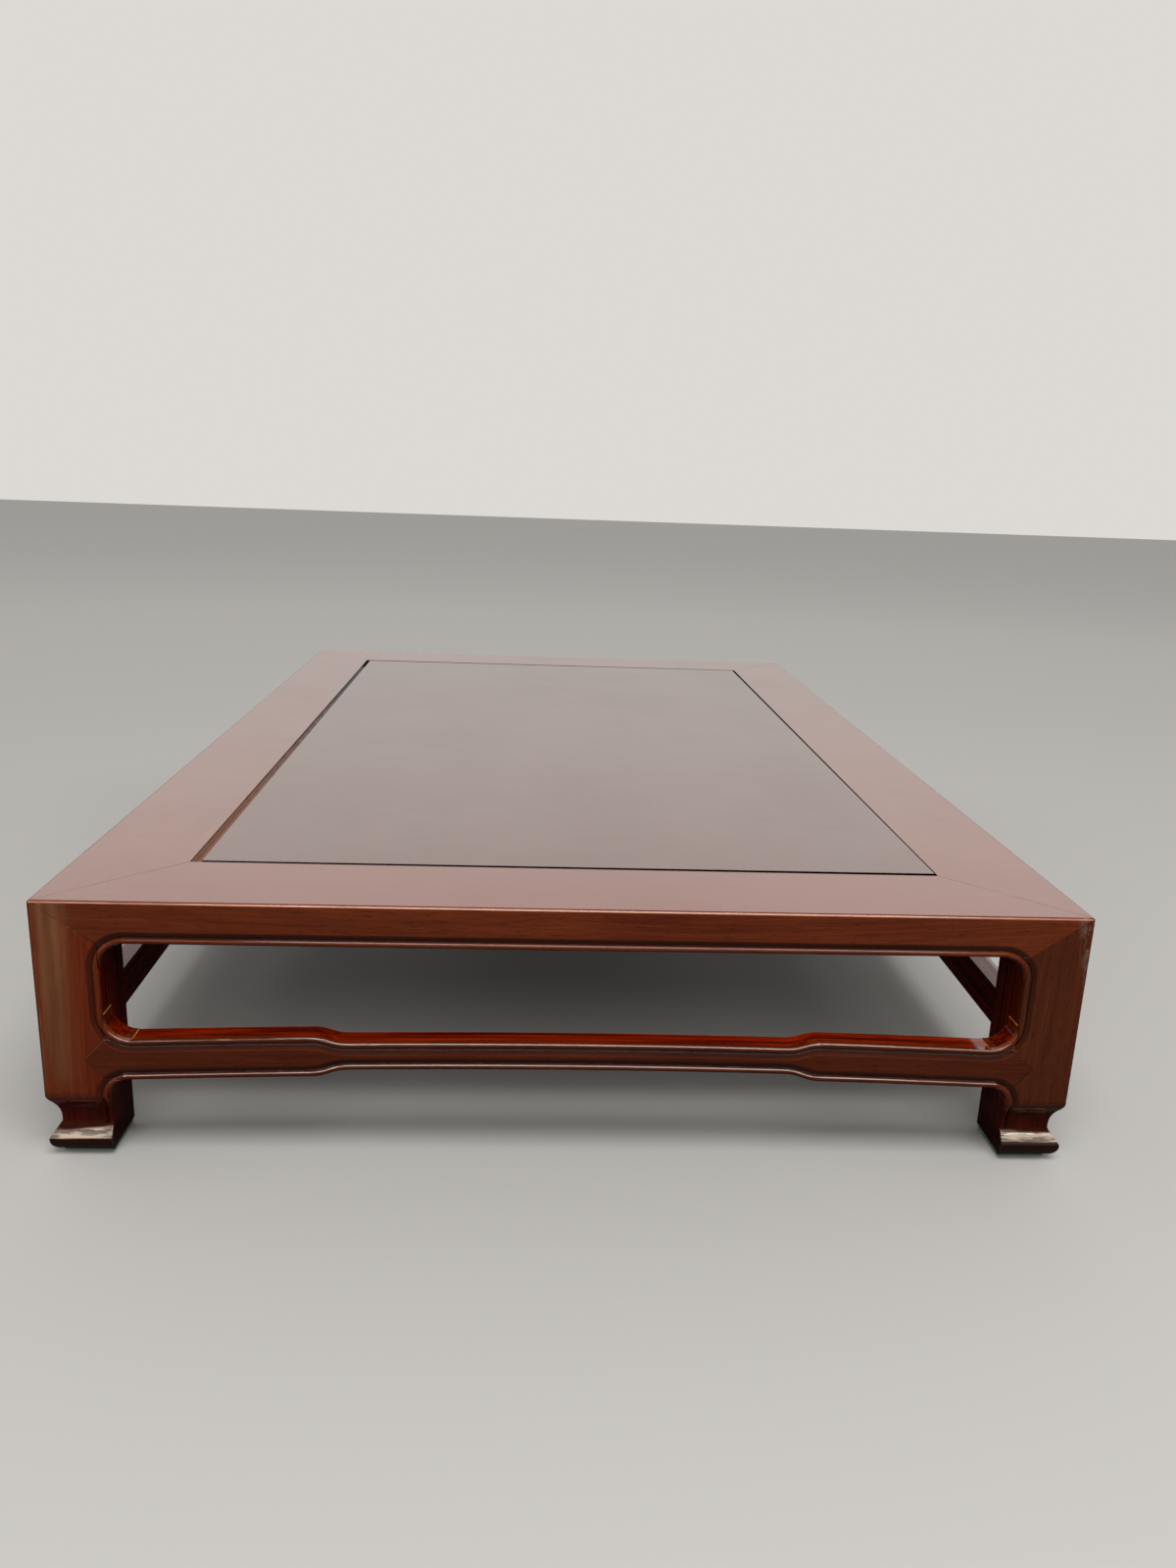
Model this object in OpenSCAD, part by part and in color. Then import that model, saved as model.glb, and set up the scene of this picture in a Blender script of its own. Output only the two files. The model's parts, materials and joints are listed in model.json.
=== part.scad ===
// Low display table in dark rosewood: a mitred frame with a floating panel stands on four
// square legs with scroll feet. Legs and rails meet in three-way mitres, and a bead with a quirk
// and a bevel runs unbroken round every opening, over rails, legs, stretchers and corner blocks.
// Millimetres, +Z up, origin on the floor under the middle of the top.

/* [Table] */
// Width of the table, along its short sides
table_w = 400; // [320:1:520]
// Length of the table, along its long sides
table_l = 606; // [480:1:800]
// Height of the top above the floor
table_h = 106; // [100:1:150]

/* [Top frame] */
// Width of the rails, seen from above
rail_w = 46; // [42:0.5:60]
// Thickness of the rails
rail_t = 16.7; // [15:0.1:20]
// Radius of the outer top arris
rail_round = 1.2; // [0.6:0.1:2]

/* [Panel] */
// Thickness of the floating panel
panel_t = 9; // [8:0.5:11]
// Mean gap between the panel and a long rail
panel_gap = 2.5; // [2.2:0.1:3.5]
// Mean gap between the panel and a short rail
panel_end_gap = 2.4; // [1.6:0.1:3.5]
// How far the loose panel has crept to the right
panel_shift = 1.2; // [0:0.1:1.3]
// Angle that the loose panel has turned, in degrees
panel_skew = 0.16; // [0:0.01:0.2]
// Depth of the panel's shoulder under the top
tongue_down = 3; // [2:0.1:4]
// Thickness of the tongue round the panel
tongue_t = 4; // [3:0.1:5]
// Width of the tongue round the panel
tongue_w = 8; // [6:0.1:9]

/* [Battens] */
// Width of the two battens under the panel
batten_w = 24; // [18:0.5:30]
// Distance of a batten from the middle of the table
batten_at = 86; // [60:1:150]
// Distance from the rail's underside up to the batten's
batten_up = 0.5; // [0:0.1:1]
// Height of the dovetail on the batten
dovetail_h = 3; // [2:0.1:4]
// Width of the dovetail at its root
dovetail_w = 12; // [8:0.5:16]

/* [Legs] */
// Size of a leg along the short side
leg_w = 24; // [23:0.5:30]
// Size of a leg along the long side
leg_d = 26; // [23:0.5:32]
// Radius of the leg's outer arris
leg_round = 1.3; // [0.8:0.1:2.5]

/* [Scroll feet] */
// How deep the neck lies behind the leg's faces
neck_in = 4.4; // [3.6:0.1:4.8]
// Radius of the curve from the neck into the toe's slope
neck_r = 2.5; // [1.9:0.1:4]
// Height of the neck's straight part
neck_len = 1; // [0.4:0.1:1.5]
// How far the toe's tip lies behind the leg's faces
toe_in = 0.3; // [0.2:0.1:1]
// Height of the toe's tip above the foot's underside
toe_h = 5; // [4.5:0.1:5.6]
// Radius of the toe's lip
toe_lip = 1.2; // [0.8:0.1:1.6]
// Radius of the curve under the toe
toe_under = 6.3; // [6:0.1:9]

/* [Stretchers] */
// Height of the stretchers' underside above the floor
stretcher_up = 33.4; // [32:0.1:38]
// Height of a stretcher at its ends
stretcher_h = 16.6; // [15.5:0.1:19]
// Thickness of a stretcher
stretcher_t = 10; // [8:0.5:13]
// Rise of the step on each edge of a stretcher
step_rise = 2.72; // [1.5:0.1:2.8]
// Distance of the steps from the middle of a short side
step_at_short = 92; // [60:1:120]
// Distance of the steps from the middle of a long side
step_at_long = 145; // [80:1:190]
// How far the pointed shoulder runs into the leg's face
point_l = 8; // [5:0.1:10]
// Thickness of the pointed shoulder
point_t = 4; // [3:0.1:4.5]

/* [Corner blocks] */
// Radius of the opening's corners
corner_r = 10; // [8:0.5:13]
// Radius of the corners under a stretcher
low_corner_r = 8; // [7:0.5:9]
// Thickness left at a block's thin ends
block_lip = 0.3; // [0.2:0.1:0.6]
// Depth of a block behind the face
block_t = 10; // [8:0.5:13]

/* [Moulding] */
// Width of the bead
bead_w = 2.4; // [1.8:0.1:2.8]
// Width of the quirk beside the bead
quirk_w = 0.5; // [0.3:0.1:0.7]
// Width of the bevel beside the quirk
bevel_w = 2.2; // [1.4:0.1:2.6]
// Depth of the bevel at the quirk
bevel_d = 1; // [0.5:0.1:1.1]
// How far the bead's crest lies under the face
bead_sink = 0.1; // [0.05:0.05:0.3]

/* [Joints] */
// Glue room round the tenons and the dovetails
glue_gap = 0.1; // [0.05:0.05:0.2]
// Room at the end of a blind tenon
end_gap = 0.5; // [0.2:0.1:1]
// Thickness of the tenons on legs and stretchers
tenon_t = 5; // [4:0.5:6]
// Length of a stretcher's tenon
tenon_l = 12; // [8:0.5:13]
// Wood left over the legs' blind tenons
tenon_cover = 4.5; // [3:0.1:6]

/* [Felt pads] */
// Side of a felt pad
pad_w = 20; // [16:0.5:20]
// Thickness of a felt pad
pad_t = 2.5; // [2:0.1:4]
// Distance of a felt pad from the leg's inner faces
pad_in = 0.5; // [0.2:0.1:1]

/* [Hidden] */
$fn = 48;
// Overshoot of the cutting shapes
over = 1;
wood = "#6a2f20";
wood_panel = "#7a3a28";
felt = "#2d5a3e";

half_w = table_w / 2;
half_l = table_l / 2;
rail_z = table_h - rail_t;
stretcher_top = stretcher_up + stretcher_h;
stretcher_mid = stretcher_up + stretcher_h / 2;
clear_w = half_w - leg_w;
clear_l = half_l - leg_d;

// The turns of the scroll foot follow a 3-4-5 triangle, and those of the stretcher's step
// a 44-117-125 triangle, so that their arcs meet on round figures.
turn_cos = 0.8;
turn_sin = 0.6;
step_cos = 0.936;
step_sin = 0.352;

lip_in = toe_in + toe_lip * (1 - turn_cos);
lip_h = toe_h + toe_lip * turn_sin;
slope_in = neck_in - neck_r * (1 - turn_cos);
slope_h = lip_h + (slope_in - lip_in) / turn_sin * turn_cos;
neck_h = slope_h + neck_r * turn_sin;
swell_r = neck_in / (1 - turn_cos);
swell_out_r = swell_r * 0.4;
swell_in_r = swell_r - swell_out_r;
neck_top = neck_h + neck_len;
swell_h = neck_top + swell_r * turn_sin;

step_r = step_rise / 2 / (1 - step_cos);
step_run = step_r * step_sin;

bead_r = bead_w / 2;
bead_in = 0.1;
quirk_end = bead_w - bead_in + quirk_w;
mould_w = quirk_end + bevel_w;
mould_d = bead_r + bead_sink;

groove_d = tongue_w + end_gap;
panel_z = table_h - panel_t;
groove_z = table_h - tongue_down - tongue_t;
rail_tenon_t = (groove_z - rail_z) / 2;
rail_tenon_z = rail_z + rail_tenon_t / 2;
rail_tenon_w = 9;
rail_tenon_l = 12;
batten_z = rail_z + batten_up;
batten_h = panel_z - batten_z;
batten_tenon_l = 10;
dovetail_flare = 1.5;
leg_tenon_w = 8;
leg_tenon_edge = 2;
leg_tenon_in = point_t + 1;
stretcher_tenon_h = stretcher_h * 0.6;

FRONT_BACK = ["front", "back"];
LEFT_RIGHT = ["left", "right"];
SIDES = ["front", "back", "left", "right"];
LEVELS = ["top", "mid", "low"];

// The two ends of a side, named by the side that the corner is shared with
function ends(side) = side == "front" || side == "back" ? LEFT_RIGHT : FRONT_BACK;
function is_short(side) = side == "front" || side == "back";
function clear(side) = is_short(side) ? clear_w : clear_l;
function step_at(side) = is_short(side) ? step_at_short : step_at_long;

// Placing. A side's pieces are drawn flat: x runs along the side, y is the height above the
// floor, and the outer face lies at z = 0 with the wood below it.
module stand() {
    rotate([90, 0, 0]) children();
}

module flat(depth) {
    translate([0, 0, -depth]) linear_extrude(depth) children();
}

module both_ends() {
    children();
    mirror([1, 0, 0]) children();
}

module swap_xy() {
    mirror([1, -1, 0]) children();
}

module on_side(side) {
    if (side == "front")
        translate([0, -half_l, 0]) stand() children();
    if (side == "back")
        mirror([0, 1, 0]) translate([0, -half_l, 0]) stand() children();
    if (side == "left")
        translate([-half_w, 0, 0]) swap_xy() stand() children();
    if (side == "right")
        mirror([1, 0, 0]) translate([-half_w, 0, 0]) swap_xy() stand() children();
}

// A corner's pieces are drawn for the front left corner, with its outer edge on the Z axis
module on_corner(y, x) {
    mirror([0, y == "back" ? 1 : 0, 0])
        mirror([x == "right" ? 1 : 0, 0, 0])
            translate([-half_w, -half_l, 0]) children();
}

module box(from, to) {
    translate(from) cube(to - from);
}

// Moulding. The section has the opening's edge at x = 0 and the face at y = 0.
module moulding_section() {
    slope = over / 2 * bevel_w / bevel_d;
    difference() {
        polygon([
            [-over, over / 2],
            [mould_w + slope, over / 2],
            [quirk_end, -bevel_d],
            [quirk_end, -mould_d],
            [-over, -mould_d]
        ]);
        translate([bead_r - bead_in, -mould_d]) circle(bead_r);
    }
}

// A straight run along +x with the wood on its left
module run(length) {
    rotate([90, 0, 90]) linear_extrude(length) moulding_section();
}

// A bend about a centre in the opening, and one about a centre in the wood
module bend_in_opening(radius, start, turn) {
    rotate(start) rotate_extrude(angle = turn) translate([radius, 0]) moulding_section();
}

module bend_in_wood(radius, start, turn) {
    rotate(start) rotate_extrude(angle = turn)
        translate([radius, 0]) mirror([1, 0]) moulding_section();
}

// The three bends at the left end of a side
module corner_bends(clear) {
    translate([corner_r - clear, rail_z - corner_r]) bend_in_opening(corner_r, 90, 90);
    translate([corner_r - clear, stretcher_top + corner_r])
        bend_in_opening(corner_r, 180, 90);
    translate([low_corner_r - clear, stretcher_up - low_corner_r])
        bend_in_opening(low_corner_r, 90, 90);
}

module leg_runs(clear) {
    from = stretcher_top + corner_r;
    translate([-clear, from]) rotate(90) run(rail_z - corner_r - from);
    translate([-clear, 0]) foot_moulding();
}

// The moulding that follows a foot, down to the toe's slope. Its bends meet on the lines
// through their centres, which are given as height and depth, with the opening's edge at x = 0.
module foot_moulding() {
    swell_out = [pad_t + swell_h, -swell_out_r];
    swell_in = [pad_t + neck_top, swell_in_r - neck_in];
    neck = [pad_t + neck_h, neck_r - neck_in];
    reach = neck_r + mould_d + over;
    low = stretcher_up - low_corner_r;
    if (low > swell_out.x)
        translate([0, swell_out.x]) rotate(90) run(low - swell_out.x);
    intersection() {
        box([-mould_w - over, 0, -swell_out_r], [over, low, over]);
        foot_bend(swell_out, [swell_out, swell_in, [swell_out.x + over, swell_in.y]])
            rotate(90) rotate_extrude(angle = 90)
                translate([swell_out_r, 0]) rotate(-90) moulding_section();
    }
    foot_bend(swell_in, [swell_in, swell_out, [0, swell_out.y], [0, swell_in.y]])
        rotate(-90) rotate_extrude(angle = 90)
            translate([swell_in_r, 0]) mirror([1, 1]) moulding_section();
    translate([0, neck.x, -neck_in]) rotate(90) run(neck_len);
    foot_bend(neck, [
        neck,
        neck - reach * [turn_sin, turn_cos],
        neck + [over, -reach],
        neck + [over, 0]
    ])
        rotate(180) rotate_extrude(angle = 90)
            translate([neck_r, 0]) mirror([1, 1]) moulding_section();
}

// A bend of the foot's moulding about a centre, cut to an outline
module foot_bend(centre, outline) {
    intersection() {
        translate([0, centre.x, centre.y]) rotate([90, 0, 90]) children();
        translate([-mould_w - over, 0, 0]) rotate([90, 0, 90])
            linear_extrude(mould_w + 2 * over) polygon(outline);
    }
}

module rail_run(clear) {
    translate([corner_r - clear, rail_z]) run(2 * (clear - corner_r));
}

// The moulding on the step of a stretcher's upper edge. Its two bends meet on the line
// between their centres.
module step_bends(at) {
    in_wood = [-at - step_run, stretcher_top - step_r];
    in_air = [-at + step_run, stretcher_top - step_rise + step_r];
    intersection() {
        translate(in_wood) bend_in_wood(step_r, 0, 90);
        through_moulding()
            polygon([in_wood, in_air, [in_wood.x - over, in_air.y], in_wood - [over, 0]]);
    }
    intersection() {
        translate(in_air) bend_in_opening(step_r, 180, 90);
        through_moulding()
            polygon([in_air, in_wood, [in_air.x + over, in_wood.y], in_air + [over, 0]]);
    }
}

module through_moulding() {
    translate([0, 0, -mould_d - over]) linear_extrude(mould_d + 2 * over) children();
}

// The left half of the moulding on a stretcher's upper edge, with its step
module stretcher_edge_half(clear, at, corner) {
    translate([-at - step_run, stretcher_top])
        rotate(180) run(clear - corner - at - step_run);
    step_bends(at);
    translate([0, stretcher_top - step_rise]) rotate(180) run(at - step_run);
}

module about_stretcher_mid() {
    translate([0, 2 * stretcher_mid, 0]) mirror([0, 1, 0]) children();
}

module stretcher_mouldings(clear, at) {
    both_ends() {
        stretcher_edge_half(clear, at, corner_r);
        about_stretcher_mid() stretcher_edge_half(clear, at, low_corner_r);
        corner_bends(clear);
    }
}

// Outlines. The profile of a leg has the outer face at x = 0 and its size along the side in size.
module foot_cuts() {
    out_h = swell_h - swell_out_r * turn_sin;
    difference() {
        translate([-over, out_h]) square([over + swell_out_r, swell_h - out_h]);
        translate([swell_out_r, swell_h]) circle(swell_out_r);
    }
    intersection() {
        translate([-over, neck_top]) square([over + neck_in + over, out_h - neck_top]);
        translate([neck_in - swell_in_r, neck_top]) circle(swell_in_r);
    }
    translate([-over, neck_h]) square([over + neck_in, neck_len]);
    intersection() {
        translate([-over, slope_h]) square([over + neck_in + over, neck_h - slope_h]);
        translate([neck_in - neck_r, neck_h]) circle(neck_r);
    }
    polygon([[-over, lip_h], [lip_in, lip_h], [slope_in, slope_h], [-over, slope_h]]);
    difference() {
        translate([-over, toe_h]) square([over + toe_in + toe_lip, lip_h - toe_h]);
        translate([toe_in + toe_lip, toe_h]) circle(toe_lip);
    }
    difference() {
        translate([-over, -over]) square([over + toe_in + toe_under, toe_h + over]);
        translate([toe_in + toe_under, toe_h]) circle(toe_under);
    }
}

module leg_profile(size) {
    difference() {
        polygon([[0, pad_t], [size, pad_t], [size, rail_z], [0, table_h]]);
        translate([0, pad_t]) foot_cuts();
    }
}

// What rounds an edge that runs along z, with the wood at +x and +y
module round_edge(radius, length) {
    linear_extrude(length) difference() {
        translate([-over, -over]) square(over + radius);
        translate([radius, radius]) circle(radius);
    }
}

// The rounded top arris along the front, past both corners
module front_arris() {
    translate([-half_w - over, -half_l, table_h])
        rotate([0, 90, 0]) round_edge(rail_round, table_w + 2 * over);
}

module left_arris() {
    translate([-half_w, half_l + over, table_h])
        rotate([90, 0, 0]) mirror([0, 1, 0]) round_edge(rail_round, table_l + 2 * over);
}

// The point of a stretcher's shoulder at the left end of a side
module point_outline(clear) {
    polygon([
        [-clear, stretcher_top],
        [-clear - point_l, stretcher_mid],
        [-clear, stretcher_up]
    ]);
}

// A stretcher's tenon at the left end of a side, or with room its mortise
module stretcher_tenon(clear, room = 0, deep = 0) {
    box(
        [-clear - tenon_l - deep, stretcher_mid - stretcher_tenon_h / 2 - room,
            -point_t - tenon_t - room],
        [-clear + over, stretcher_mid + stretcher_tenon_h / 2 + room, -point_t + room]
    );
}

module stretcher_sockets(clear) {
    translate([0, 0, over]) flat(point_t + over) point_outline(clear);
    stretcher_tenon(clear, glue_gap, end_gap);
}

// The tenons on top of a leg: one into the short rail and one into the long rail
module leg_tenons(room = 0, deep = 0) {
    top = table_h - tenon_cover + deep;
    foot = rail_z - over;
    box(
        [leg_w - leg_tenon_edge - leg_tenon_w - room, leg_tenon_in - room, foot],
        [leg_w - leg_tenon_edge + room, leg_tenon_in + tenon_t + room, top]
    );
    box(
        [leg_tenon_in - room, leg_d - leg_tenon_edge - leg_tenon_w - room, foot],
        [leg_tenon_in + tenon_t + room, leg_d - leg_tenon_edge + room, top]
    );
}

// The leg's mitred head, with what rises past the rails' faces
module leg_head() {
    slope_w = rail_t / leg_w;
    slope_d = rail_t / leg_d;
    low = rail_z - over;
    intersection() {
        stand() translate([0, 0, -leg_d]) linear_extrude(leg_d + over) polygon([
            [-over, low],
            [leg_w, low],
            [leg_w, rail_z],
            [-over, table_h + over * slope_w]
        ]);
        swap_xy() stand() translate([0, 0, -leg_w]) linear_extrude(leg_w + over) polygon([
            [-over, low],
            [leg_d, low],
            [leg_d, rail_z],
            [-over, table_h + over * slope_d]
        ]);
    }
}

// The tenon that a long rail sends through the mitre into the short rail
module rail_tenon(room = 0, deep = 0) {
    edge = rail_w - groove_d - end_gap;
    box(
        [edge - rail_tenon_w - room, edge - rail_tenon_w - rail_tenon_l - deep,
            rail_tenon_z - room],
        [edge + room, edge + over, rail_tenon_z + rail_tenon_t + room]
    );
}

module batten_tenons(room = 0, deep = 0) {
    half = half_w - rail_w + batten_tenon_l + deep;
    box(
        [-half, -batten_w / 4 - room, batten_z + batten_h / 4 - room],
        [half, batten_w / 4 + room, batten_z + batten_h * 3 / 4 + room]
    );
}

module batten_dovetail(length, room = 0) {
    translate([-length / 2, 0, 0]) rotate([90, 0, 90]) linear_extrude(length) polygon([
        [-dovetail_w / 2 - room, panel_z - over],
        [dovetail_w / 2 + room, panel_z - over],
        [dovetail_w / 2 + room, panel_z],
        [dovetail_w / 2 + dovetail_flare + room, panel_z + dovetail_h + room],
        [-dovetail_w / 2 - dovetail_flare - room, panel_z + dovetail_h + room],
        [-dovetail_w / 2 - room, panel_z]
    ]);
}

// Pieces
module leg() {
    difference() {
        union() {
            intersection() {
                stand() flat(leg_d) leg_profile(leg_w);
                swap_xy() stand() flat(leg_w) leg_profile(leg_d);
            }
            leg_tenons();
        }
        translate([half_w, 0, 0]) stand() {
            corner_bends(clear_w);
            leg_runs(clear_w);
            stretcher_sockets(clear_w);
        }
        translate([0, half_l, 0]) swap_xy() stand() {
            corner_bends(clear_l);
            leg_runs(clear_l);
            stretcher_sockets(clear_l);
        }
        round_edge(leg_round, table_h + over);
        translate([half_w, half_l, 0]) {
            front_arris();
            left_arris();
        }
    }
}

module rail_cuts(y, x) {
    on_corner(y, x) {
        leg_head();
        leg_tenons(glue_gap, end_gap);
        round_edge(leg_round, table_h + over);
    }
}

module panel_groove() {
    translate([rail_w - groove_d - half_w, rail_w - groove_d - half_l, groove_z])
        cube([
            table_w - 2 * (rail_w - groove_d),
            table_l - 2 * (rail_w - groove_d),
            tongue_t + glue_gap
        ]);
}

module rail_front() {
    color(wood) difference() {
        translate([0, 0, rail_z]) linear_extrude(rail_t) polygon([
            [-half_w, -half_l],
            [half_w, -half_l],
            [half_w - rail_w, -half_l + rail_w],
            [-half_w + rail_w, -half_l + rail_w]
        ]);
        for (x = LEFT_RIGHT) {
            rail_cuts("front", x);
            on_corner("front", x) rail_tenon(glue_gap, end_gap);
        }
        panel_groove();
        on_side("front") {
            rail_run(clear_w);
            both_ends() corner_bends(clear_w);
        }
        front_arris();
    }
}

module rail_left() {
    color(wood) difference() {
        union() {
            translate([0, 0, rail_z]) linear_extrude(rail_t) polygon([
                [-half_w, -half_l],
                [-half_w + rail_w, -half_l + rail_w],
                [-half_w + rail_w, half_l - rail_w],
                [-half_w, half_l]
            ]);
            for (y = FRONT_BACK)
                on_corner(y, "left") rail_tenon();
        }
        for (y = FRONT_BACK)
            rail_cuts(y, "left");
        panel_groove();
        on_side("left") {
            rail_run(clear_l);
            both_ends() corner_bends(clear_l);
        }
        left_arris();
        for (y = [-batten_at, batten_at])
            translate([0, y, 0]) batten_tenons(glue_gap, end_gap);
    }
}

module rail(side) {
    if (side == "front")
        rail_front();
    if (side == "back")
        mirror([0, 1, 0]) rail_front();
    if (side == "left")
        rail_left();
    if (side == "right")
        mirror([1, 0, 0]) rail_left();
}

module panel() {
    face_w = table_w - 2 * (rail_w + panel_gap);
    face_l = table_l - 2 * (rail_w + panel_end_gap);
    color(wood_panel) difference() {
        translate([panel_shift, 0, 0]) rotate(panel_skew) {
            translate([-face_w / 2, -face_l / 2, panel_z]) cube([face_w, face_l, panel_t]);
            translate([-face_w / 2 - tongue_w, -face_l / 2 - tongue_w, groove_z])
                cube([face_w + 2 * tongue_w, face_l + 2 * tongue_w, tongue_t]);
        }
        for (y = [-batten_at, batten_at])
            translate([0, y, 0]) batten_dovetail(table_w, glue_gap);
    }
}

module batten() {
    half = half_w - rail_w;
    color(wood) union() {
        box([-half, -batten_w / 2, batten_z], [half, batten_w / 2, panel_z]);
        batten_dovetail(2 * (half - panel_gap - panel_shift));
        batten_tenons();
    }
}

module stretcher_outline(clear, at) {
    difference() {
        translate([-clear, stretcher_up]) square([2 * clear, stretcher_h]);
        both_ends() {
            step_cut(at);
            about_stretcher_mid() step_cut(at);
        }
    }
}

// What the step takes off the left half of the upper edge
module step_cut(at) {
    waist = stretcher_top - step_rise;
    rise = step_rise + over;
    translate([step_run - at, waist]) square([at - step_run + over, rise]);
    intersection() {
        translate([-at, waist]) square([step_run, rise]);
        translate([step_run - at, waist + step_r]) circle(step_r);
    }
    difference() {
        translate([-at - step_run, waist]) square([step_run, rise]);
        translate([-at - step_run, stretcher_top - step_r]) circle(step_r);
    }
}

module stretcher(side) {
    clear = clear(side);
    color(wood) on_side(side) difference() {
        union() {
            flat(stretcher_t) stretcher_outline(clear, step_at(side));
            both_ends() {
                flat(point_t) point_outline(clear);
                stretcher_tenon(clear);
            }
        }
        stretcher_mouldings(clear, step_at(side));
    }
}

// A glued block in a corner of an opening, at the left end of a side
module block_outline(clear, level) {
    radius = level == "low" ? low_corner_r : corner_r;
    from = level == "top" ? rail_z - corner_r
        : level == "mid" ? stretcher_top
        : stretcher_up - low_corner_r;
    centre = level == "mid" ? from + radius : from;
    difference() {
        translate([-clear, from]) square(radius);
        translate([radius - clear, centre]) circle(radius - block_lip);
    }
}

module block(side, end, level) {
    color(wood) on_side(side)
        mirror([end == "right" || end == "back" ? 1 : 0, 0, 0]) difference() {
            flat(block_t) block_outline(clear(side), level);
            corner_bends(clear(side));
        }
}

module felt_pad() {
    color(felt) translate([leg_w - pad_in - pad_w, leg_d - pad_in - pad_w, 0])
        cube([pad_w, pad_w, pad_t]);
}

for (y = FRONT_BACK, x = LEFT_RIGHT)
    color(wood) on_corner(y, x) leg();
for (s = SIDES)
    rail(s);
panel();
for (y = FRONT_BACK)
    translate([0, y == "front" ? -batten_at : batten_at, 0]) batten();
for (s = SIDES)
    stretcher(s);
for (s = SIDES, e = ends(s), v = LEVELS)
    block(s, e, v);
for (y = FRONT_BACK, x = LEFT_RIGHT)
    on_corner(y, x) felt_pad();
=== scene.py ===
"""Looks of a low display table: dark rosewood under lacquer, its joints, glue and felt.

All lengths are in metres. X points to the right, Y to the back, and Z up from the floor.
"""

import json
import math

import bmesh
import bpy
from mathutils import Matrix, Vector, noise

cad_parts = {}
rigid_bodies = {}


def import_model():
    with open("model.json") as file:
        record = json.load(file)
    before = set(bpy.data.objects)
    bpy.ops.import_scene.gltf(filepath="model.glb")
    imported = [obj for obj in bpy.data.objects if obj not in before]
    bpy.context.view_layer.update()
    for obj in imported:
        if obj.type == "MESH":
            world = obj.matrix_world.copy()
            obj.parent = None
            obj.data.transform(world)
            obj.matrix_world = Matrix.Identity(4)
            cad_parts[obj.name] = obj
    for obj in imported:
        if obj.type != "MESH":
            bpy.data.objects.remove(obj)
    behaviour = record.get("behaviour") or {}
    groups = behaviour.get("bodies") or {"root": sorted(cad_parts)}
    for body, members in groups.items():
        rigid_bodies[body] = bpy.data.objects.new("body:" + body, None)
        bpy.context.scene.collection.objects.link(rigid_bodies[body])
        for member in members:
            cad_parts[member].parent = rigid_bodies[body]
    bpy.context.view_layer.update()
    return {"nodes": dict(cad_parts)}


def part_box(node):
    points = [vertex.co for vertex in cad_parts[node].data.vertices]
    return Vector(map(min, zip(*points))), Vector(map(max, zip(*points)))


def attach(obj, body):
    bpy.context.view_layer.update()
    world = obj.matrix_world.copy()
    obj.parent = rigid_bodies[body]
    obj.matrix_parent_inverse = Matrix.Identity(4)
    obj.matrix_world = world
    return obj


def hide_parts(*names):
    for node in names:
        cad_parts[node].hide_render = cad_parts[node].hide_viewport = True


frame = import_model()
nodes = frame["nodes"]
scene = bpy.context.scene

# The table's sizes, as its solids have them
MM = 0.001
HALF_W, HALF_L, TOP = 200 * MM, 303 * MM, 106 * MM
LEG_W, LEG_D = 24 * MM, 26 * MM
RAIL_W, RAIL_T = 46 * MM, 16.7 * MM
RAIL_LOW = TOP - RAIL_T
STRETCHER_LOW, STRETCHER_TOP = 33.4 * MM, 50 * MM
STRETCHER_MID = (STRETCHER_LOW + STRETCHER_TOP) / 2
POINT_L = 8 * MM
CORNER_R, LOW_CORNER_R, BLOCK_T = 10 * MM, 8 * MM, 10 * MM
SIDES = ("front", "back", "left", "right")
SHORT = ("front", "back")
FAR = 1.0  # Further than any point of the table

# Colours, in linear red, green and blue
WOOD_DARK, WOOD_LIGHT = (0.112, 0.0158, 0.0036), (0.166, 0.0275, 0.0066)
GROWTH_LINE, CLOUD, PORE = (0.04, 0.005, 0.0015), (0.2, 0.038, 0.0085), (0.018, 0.004, 0.002)
CALM_TOP = (0.13, 0.0185, 0.003)
# Painted reflection: the colours of a pale streak down the front left leg
SHEEN_DARK, SHEEN_LIGHT = (0.17, 0.078, 0.037), (0.29, 0.165, 0.088)
# Painted shade on the bevels, the legs' lower ends and the toe tips
BEVEL_SHADE, FOOT_SHADE, TOE_TIP_SHADE = (0.022, 0.0045, 0.002), (0.035, 0.0035, 0.0014), (0.006, 0.0015, 0.001)
# Painted light on the toes' upward slopes, and a painted highlight band on them
TOE_SLOPE_LIT, TOE_GLINT = (0.03, 0.014, 0.008), (0.6, 0.5, 0.4)
# Painted shade in the hollows, then rubbed and bruised wear
HOLLOW_SHADE, RUBBED, BRUISED = (0.008, 0.0025, 0.0015), (0.2, 0.075, 0.035), (0.3, 0.24, 0.2)
# A painted highlight along the top arris
RIM_HIGHLIGHT = (0.8, 0.48, 0.38)
JOINT_DARK, CHIPPED = (0.014, 0.003, 0.0015), (0.3, 0.09, 0.025)
# Painted shade in the gap round the panel, and painted lit bare wood in it
GAP_SHADE, LIT_GAP_WOOD = (0.004, 0.0015, 0.001), (0.2, 0.065, 0.02)
GLUE_DARK, GLUE_LIGHT = (0.32, 0.07, 0.012), (0.62, 0.24, 0.06)
FELT_DARK, FELT_LIGHT, FELT_CRUSHED = (0.02, 0.1, 0.055), (0.08, 0.32, 0.17), (0.02, 0.05, 0.035)


# Shader trees
VEC, NUM, COL = "NodeSocketVector", "NodeSocketFloat", "NodeSocketColor"


def fill(tree, sockets, values):
    """Link or set every socket that values names"""
    for key, value in values.items():
        if isinstance(value, bpy.types.NodeSocket):
            tree.links.new(value, sockets[key])
        else:
            sockets[key].default_value = value


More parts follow.
